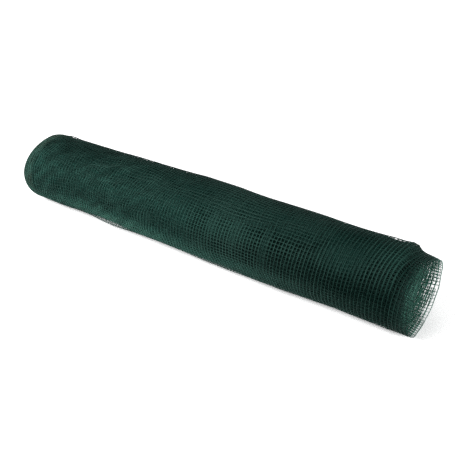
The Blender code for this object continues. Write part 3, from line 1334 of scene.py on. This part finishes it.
@dataclass
class FoldedTurns:
    """The fold of every deeper turn, which together make the near end's face."""

    net: WoundNet
    materials: list[Material]
    scatter_seed: int = 401
    slipped_seed: int = 410
    face_seed: int = 420
    slipped_rows: int = 4
    face_rows: int = 1
    slipped: int = 7
    fold_pitch: float = 0.008
    thicker: float = 1.05
    weft_radius: float = 0.00034
    reaches: tuple[float, ...] = (0.0290, 0.0230, 0.0180, 0.0135, 0.0095, 0.0060, 0.0035, 0.0015)
    least_reach: float = 0.0015
    step_share: Span = (0.08, 0.92)
    reach_swing: float = 0.16
    reach_degrees: float = 20.0
    low_front: Patch = Patch(195, 0, 30, ALL_ALONG, 0.26)
    full_back: Patch = Patch(-32, 0, 26, ALL_ALONG, 0.45)
    turn_scatter: float = 0.0011
    waves: tuple[tuple[float, float, float], ...] = ((0.0007, 3.3, 0.0), (0.0005, 7.7, 1.1))
    weft_shift: float = 0.020
    weft_room: float = 0.05
    wander: float = 0.0009
    wander_mesh: float = 3.0
    lip: float = 0.0012
    lip_depth: float = 0.0001
    snugness: float = 0.65
    snug_start: float = 0.004
    snug_length: float = 0.016
    snug_depth: float = 0.0012

    def fold_x(self, w: Array) -> Array:
        """The fold's place along the roll, which drops from the sleeve's rim to the end face.

        Args:
            w: Winding angles.

        Returns:
            The fold's x at each of them.
        """
        shape, turn = self.net.shape, w / TAU
        starts = np.arange(1, 1 + len(self.reaches))
        corners = (starts[:, None] + self.step_share).ravel()
        slip = np.interp(turn, corners, np.repeat(self.reaches, 2))
        swing = self.reach_swing * np.cos(shape.angle(w) - math.radians(self.reach_degrees))
        swing = 1 + swing + shape.total((self.low_front,), w)
        slip = slip * np.where(turn > starts[-1] + 1, 0, swing)
        draw = np.random.default_rng(self.scatter_seed)
        uneven = self.net.scatter(draw, self.turn_scatter, w)
        for height, waves, phase in self.waves:
            uneven = uneven + height * np.sin(waves * w + phase)
        return shape.shoulder_x + self.least_reach + slip + uneven

    def turn_point(self, w: Array, x: Array, depth: float) -> Array:
        """Points of a deeper turn.

        Args:
            w: Winding angles.
            x: Places along the roll.
            depth: How far they lie below the turn's outer ply.

        Returns:
            The points, closer to the sleeve the further they stand out.
        """
        inset = self.net.turn_depth(w) + self.net.chain_radius + depth
        start = self.net.shape.shoulder_x - self.snug_start
        snug = ramp(x, start, start + self.snug_length)
        inset = inset * (1 - self.snugness * snug) + snug * self.snug_depth
        return self.net.shape.points(w, x, inset)

    def build_run(self, name: str, w: Array, rows: int, seed: int) -> None:
        """Make a run of folded turns.

        Args:
            name: The piece's name.
            w: The winding angles of its wefts.
            rows: How many chains of each ply are made behind the fold.
            seed: The seed of the threads' own shades.
        """
        net, gap = self.net, self.net.ply_gap
        fold = self.fold_x(w)[None]
        wander = self.wander * net.jitters[0].at(np.full_like(w, self.wander_mesh), w)
        back = fold - self.fold_pitch * np.arange(1, rows + 1)[:, None]
        outer = self.turn_point(w, back + wander, 0)
        inner = self.turn_point(w, back - wander, gap)
        middle = self.turn_point(w, fold, gap / 2)
        lip_out = self.turn_point(w, fold - self.lip, self.lip_depth)
        lip_in = self.turn_point(w, fold - self.lip, gap - self.lip_depth)
        thick = 1 + net.shape.total((self.full_back,), w)
        tubes = TubeMesh(net, seed)
        # Both the chains and the wefts carry the folded end's painted light and painted shade.
        chains = np.concatenate((middle, outer, inner))
        tubes.add(chains, w, net.chain_radius * self.thicker * thick, net.mouth_painted_light)
        path = np.concatenate((outer[::-1], lip_out, middle, lip_in, inner)).swapaxes(0, 1)
        w, radius = w[:, None], self.weft_radius * thick[:, None]
        tubes.add(path, w, radius, net.mouth_painted_light, thread=Thread.WEFT, fold=rows + 1)
        tubes.build(name, self.materials)

    def build(self) -> None:
        """Make the slipped turns inside the sleeve, and the end face of all the others."""
        angles = self.net.weft_angles(self.net.all_turns)
        first = self.net.turn_wefts(0)[:-1]
        slipped = np.concatenate([first + (TAU + self.weft_shift) * turn for turn in (1, 2)])
        deeper = (angles > slipped[-1] + self.weft_room) & (angles < TAU * (1 + self.slipped))
        slipped = np.concatenate((slipped, angles[deeper]))
        face = angles[angles >= slipped[-1]]
        self.build_run("net_slipped_turns", slipped, self.slipped_rows, self.slipped_seed)
        self.build_run("net_near_face", face, self.face_rows, self.face_seed)


@dataclass
class SelvedgeEnds:
    """The selvedges at the far end: the band on the outer plies and the face of all the turns."""

    net: WoundNet
    materials: list[Material]
    band_materials: list[Material]
    band_seed: int = 500
    face_seed: int = 520
    band_turns: int = 2
    extra_chains: tuple[float, ...] = (-0.02, 0.13, 0.5, 1.13, 1.5, 1.9, 2.13, 2.5, 3.12, 3.5)
    tie_reach: float = 3.5
    tie_points: int = 5
    first_turn: float = 2.0
    rows: int = 3
    row_gap: float = 0.004
    thicker: float = 1.05
    weft_radius: float = 0.00038
    face_inset: float = 0.0022
    turn_scatter: float = 0.0012
    weft_scatter: float = 0.00025
    wave: float = 0.0006
    waves: float = 3.7

    def build_band(self) -> None:
        """Make the extra chains and the thick cross threads of the band on the outer turns."""
        net = self.net
        tubes = TubeMesh(net, self.band_seed)
        extra = net.meshes - np.array(self.extra_chains)
        ties = np.linspace(net.meshes - self.tie_reach, net.meshes, self.tie_points)
        # The band carries the net's tone and painted light.
        for turn, side in ((turn, side) for turn in range(self.band_turns) for side in Side):
            w = net.turn_wefts(turn)
            tubes.add(net.place(extra[:, None], w, side), w, net.chain_radius, net.tone_and_painted_light)
            w = w[1:-1, None]
            tubes.add(net.place(ties, w, side), w, self.weft_radius, net.tone_and_painted_light)
        tubes.build("net_selvedge_band", self.band_materials)

    def build_face(self) -> None:
        """Make the selvedges of the deeper turns, two in each turn."""
        net = self.net
        angles = net.weft_angles(net.all_turns)
        w = angles[angles > self.first_turn * TAU]
        tubes = TubeMesh(net, self.face_seed)
        for side in Side:
            inset = net.turn_depth(w) + net.chain_radius + net.ply_gap * side.value
            edge = net.shape.far_face(w, inset) + self.face_inset
            edge = edge + net.scatter(tubes.draw, self.turn_scatter, w)
            edge = edge + self.wave * np.sin(self.waves * w + side.value)
            edge = edge + tubes.draw.normal(0, self.weft_scatter, len(w))
            edge = edge + self.row_gap * np.arange(self.rows)[:, None]
            lines = net.shape.points(w, edge, inset)
            tubes.add(lines, w, net.chain_radius * self.thicker)
            tubes.add(lines[[0, -1]].swapaxes(0, 1), w[:, None], self.weft_radius)
        tubes.build("net_far_face", self.materials)

    def build(self) -> None:
        """Make the band and the face."""
        self.build_band()
        self.build_face()


@dataclass
class WindingCore:
    """The deep turns as one dark body under the threads."""

    net: WoundNet
    finish: Material
    inset: float = 0.0080
    near_gap: float = 0.0045
    far_gap: float = 0.0090
    segments: int = 192
    stations: int = 110
    face_rings: int = 12
    end_slope: float = 0.9
    end_share: float = 0.999
    sharp_degrees: float = 50.0
    relief: float = 0.0012
    relief_edge: float = 0.98
    mesh_width: float = 0.00803
    row_depth: float = 0.0024
    rows_round: int = 66
    filled_meshes: Span = (40, 70)
    # Painted light on the core's near face.
    face_painted_light: float = 0.6

    def build(self) -> None:
        """Make the core from a cylinder that is cut into rings and fitted under the plies."""
        bpy.ops.object.select_all(action="DESELECT")
        bpy.ops.mesh.primitive_cylinder_add(
            vertices=self.segments, radius=1.0, depth=2.0, end_fill_type="NGON"
        )
        core = bpy.context.active_object
        core.name = core.data.name = "net_core"
        bpy.ops.object.mode_set(mode="EDIT")
        bpy.ops.mesh.select_mode(type="FACE")
        bpy.ops.mesh.select_all(action="DESELECT")
        bpy.ops.object.mode_set(mode="OBJECT")
        for polygon in core.data.polygons:
            polygon.select = abs(polygon.normal.z) > self.end_slope
        bpy.ops.object.mode_set(mode="EDIT")
        for _ in range(self.face_rings - 1):
            bpy.ops.mesh.inset(thickness=1 / self.face_rings, depth=0, use_individual=True)
        bpy.ops.mesh.poke()
        for station in range(1, self.stations):
            bpy.ops.mesh.select_all(action="SELECT")
            height = -1 + 2 * station / self.stations
            bpy.ops.mesh.bisect(plane_co=(0, 0, height), plane_no=(0, 0, 1))
        bpy.ops.object.mode_set(mode="OBJECT")
        self.fit(core.data)
        core.data.shade_smooth()
        core.data.set_sharp_from_angle(angle=math.radians(self.sharp_degrees))
        core.data.materials.append(self.finish)
        dress(core)
        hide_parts(NODE)

    def fit(self, data: Mesh) -> None:
        """Move the cylinder's points to the winding's inside, and lay its UV map in meshes.

        Args:
            data: The cut cylinder, 2 high and with a radius of 1, with its axis along Z.
        """
        shape = self.net.shape
        flat = np.zeros(3 * len(data.vertices), np.float32)
        data.vertices.foreach_get("co", flat)
        across, side, high = flat.reshape(-1, 3).astype(float).T
        share = np.minimum(1, np.hypot(across, side))
        ends = np.sign(high) * (np.abs(high) > self.end_share)
        w = np.mod(shape.edge_angle - np.arctan2(side, across), TAU)
        radius = shape.outer_radius(w, np.zeros_like(w))
        inset = radius - (radius - self.inset) * share
        far = shape.far_face(w, inset) + self.far_gap
        x = far + (shape.shoulder_x - self.near_gap - far) * (high + 1) / 2
        uneven = shape.total(self.net.hollows, w, x) - shape.total(self.net.bulges, w, x)
        inset = inset + share * uneven
        relief = self.relief * np.sin(TAU * (inset / self.net.turn_gap / 2 + w / TAU))
        x = x - relief * (share < self.relief_edge) * ends
        data.vertices.foreach_set("co", shape.points(w, x, inset).astype(np.float32).ravel())
        corner = np.zeros(len(data.loops), np.int32)
        data.loops.foreach_get("vertex_index", corner)
        u = (shape.rim_x - x) / self.mesh_width
        around = (inset - self.inset) / self.row_depth + w / TAU * self.rows_round
        set_places(data, "meshes", np.stack((u, around), axis=-1)[corner])
        face = (ends > 0) & (share < self.end_share)
        filled = np.maximum(ramp(u, *self.filled_meshes), self.net.smooth(w, x))
        filled = np.where(face, 1.0, filled)
        # The net's tone and painted light, its painted light kept only where the rows are filled, and
        # painted light on the near face.
        tone_and_painted_light = self.net.tone_and_painted_light(w, x)
        tone_and_painted_light = np.where(tone_and_painted_light > 0, tone_and_painted_light * filled, tone_and_painted_light)
        set_values(data, "filled", filled)
        set_values(data, "tone_and_painted_light", np.where(face, self.face_painted_light, tone_and_painted_light))
        data.update()


@dataclass(frozen=True)
class Lamp:
    """One large soft lamp of the studio."""

    name: str
    place: Place
    size: float
    power: float


@dataclass
class Studio:
    """The plain pale floor, the soft light and the camera."""

    floor_size: float = 40.0
    floor_colour: Colour = (0.92, 0.92, 0.92)
    floor_roughness: float = 0.9
    floor_gloss: float = 0.1
    surroundings: float = 0.95
    lamps: tuple[Lamp, ...] = (
        Lamp("front_lamp", (-0.9, -1.9, 1.6), 1.2, 110.0),
        Lamp("end_lamp", (2.2, -0.6, 0.9), 0.9, 30.0),
    )
    camera_place: Place = (0.8140, -1.0998, 0.8880)
    camera_look: Place = (-0.473516, 0.706347, -0.526172)
    lens: float = 52.5
    sensor: float = 36.0

    def build(self) -> None:
        """Make the camera, the floor, the world's light and the lamps."""
        self.build_camera()
        self.build_floor()
        self.build_light()

    @staticmethod
    def aim(name: str, data: ID, place: Vector, look: Vector) -> Object:
        """Put a lamp or a camera in the scene.

        Args:
            name: Its name.
            data: Its settings.
            place: Where it stands.
            look: The direction in which it looks.

        Returns:
            The new object.
        """
        item = bpy.data.objects.new(name, data)
        item.location = place
        item.rotation_mode = "QUATERNION"
        item.rotation_quaternion = look.to_track_quat("-Z", "Y")
        bpy.context.scene.collection.objects.link(item)
        return item

    def build_camera(self) -> None:
        """Make the camera at the photograph's angle."""
        data = bpy.data.cameras.new("camera")
        data.lens, data.sensor_width = self.lens, self.sensor
        look = Vector(self.camera_look).normalized()
        bpy.context.scene.camera = self.aim("camera", data, Vector(self.camera_place), look)

    def build_floor(self) -> None:
        """Make the pale floor."""
        bpy.ops.object.select_all(action="DESELECT")
        bpy.ops.mesh.primitive_plane_add(size=self.floor_size)
        floor = bpy.context.active_object
        floor.name = "floor"
        material, shader = start_material("pale_floor", self.floor_roughness, self.floor_gloss)
        shader.inputs["Base Color"].default_value = (*self.floor_colour, 1)
        floor.data.materials.append(material)
        floor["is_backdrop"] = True

    def build_light(self) -> None:
        """Make the soft white surroundings and the studio's large lamps."""
        world = bpy.data.worlds.new("studio")
        bpy.context.scene.world = world
        world.use_nodes = True
        background = world.node_tree.nodes["Background"]
        background.inputs["Color"].default_value = (1.0, 1.0, 1.0, 1)
        background.inputs["Strength"].default_value = self.surroundings
        for lamp in self.lamps:
            data = bpy.data.lights.new(lamp.name, "AREA")
            data.size, data.energy = lamp.size, lamp.power
            self.aim(lamp.name, data, Vector(lamp.place), -Vector(lamp.place))
        bpy.context.scene.view_settings.view_transform = "Standard"
        bpy.context.scene.view_settings.look = "None"
        bpy.context.scene.cycles.use_denoising = False


CHAIN_FINISH = ThreadFinish(
    "net_chain", deep=(0.0012, 0.014, 0.0112), lit=(0.0175, 0.044, 0.036), stitch=0.0026, relief=0.00022
)
WEFT_FINISH = ThreadFinish(
    "net_weft", deep=(0.0030, 0.018, 0.0148), lit=(0.0270, 0.054, 0.045), stitch=0.0035, relief=0.00010
)
EDGE_FINISH = ThreadFinish(
    "net_selvedge", deep=(0.012, 0.034, 0.026), lit=(0.080, 0.122, 0.096), stitch=0.0026, relief=0.00022
)


def main() -> None:
    """Build the studio, the materials and every piece of the net, in order."""
    logging.basicConfig(level=logging.INFO, format="%(name)s %(message)s")
    Studio().build()
    effects = Effects(KnitStitches().build(), HandlingHaze().build(), PaintedLightTint().build())
    chain, weft, edge = (finish.build(effects) for finish in (CHAIN_FINISH, WEFT_FINISH, EDGE_FINISH))
    net = WoundNet(RollShape().centred())
    WindingCore(net, CoreFinish().build(effects)).build()
    threads = [chain, weft]
    PlyLayers(net, threads).build()
    FoldSleeve(net, threads).build()
    FoldedTurns(net, threads).build()
    SelvedgeEnds(net, threads, [edge, weft]).build()
    low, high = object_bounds()
    sizes = {
        "cad": [list(CAD_BOX[0]), list(CAD_BOX[1])],
        "visual": [list(low), list(high)],
    }


if __name__ == "__main__":
    main()
